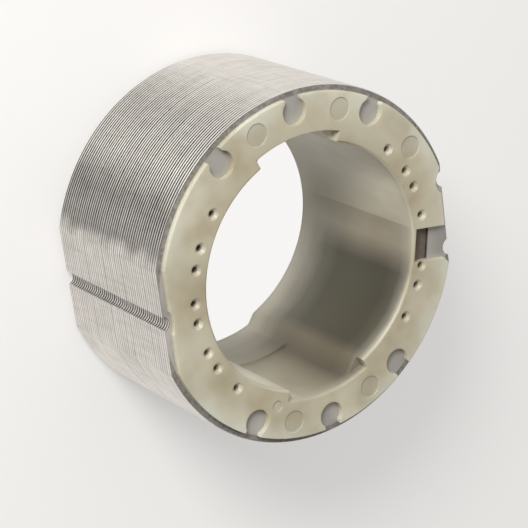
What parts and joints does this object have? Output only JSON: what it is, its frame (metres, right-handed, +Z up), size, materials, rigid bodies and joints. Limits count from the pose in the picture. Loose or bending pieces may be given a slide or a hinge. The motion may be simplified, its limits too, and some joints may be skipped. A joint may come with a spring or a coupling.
{
  "type": "permanent-magnet stator lamination stack",
  "caption": "Short round stack of stamped steel sheets with flats on its outside, lined with moulded nylon that holds flat bar magnets round a stepped bore.",
  "frame": {"origin": "on the bore axis, at the plain end that the stack stands on", "axes": "+Z up the bore axis towards the detailed end; +X towards the outer flat with two notches and the magnet window, -X towards the flat with one groove; +Y completes the right-hand frame"},
  "size_m": [0.0458, 0.048, 0.0251],
  "materials": {
    "electrical_steel": "satin stamped edges with fine lines between the sheets",
    "natural_nylon": "cream, slightly translucent, satin",
    "magnet": "dark brown-grey, matt"
  },
  "bodies": {
    "root": {"lamination_stack": "electrical_steel", "moulded_liner": "natural_nylon", "magnet_left_1": "magnet", "magnet_left_2": "magnet", "magnet_left_3": "magnet", "magnet_left_4": "magnet", "magnet_right_1": "magnet", "magnet_right_2": "magnet", "magnet_right_3": "magnet", "magnet_right_4": "magnet"}
  },
  "joints": []
}
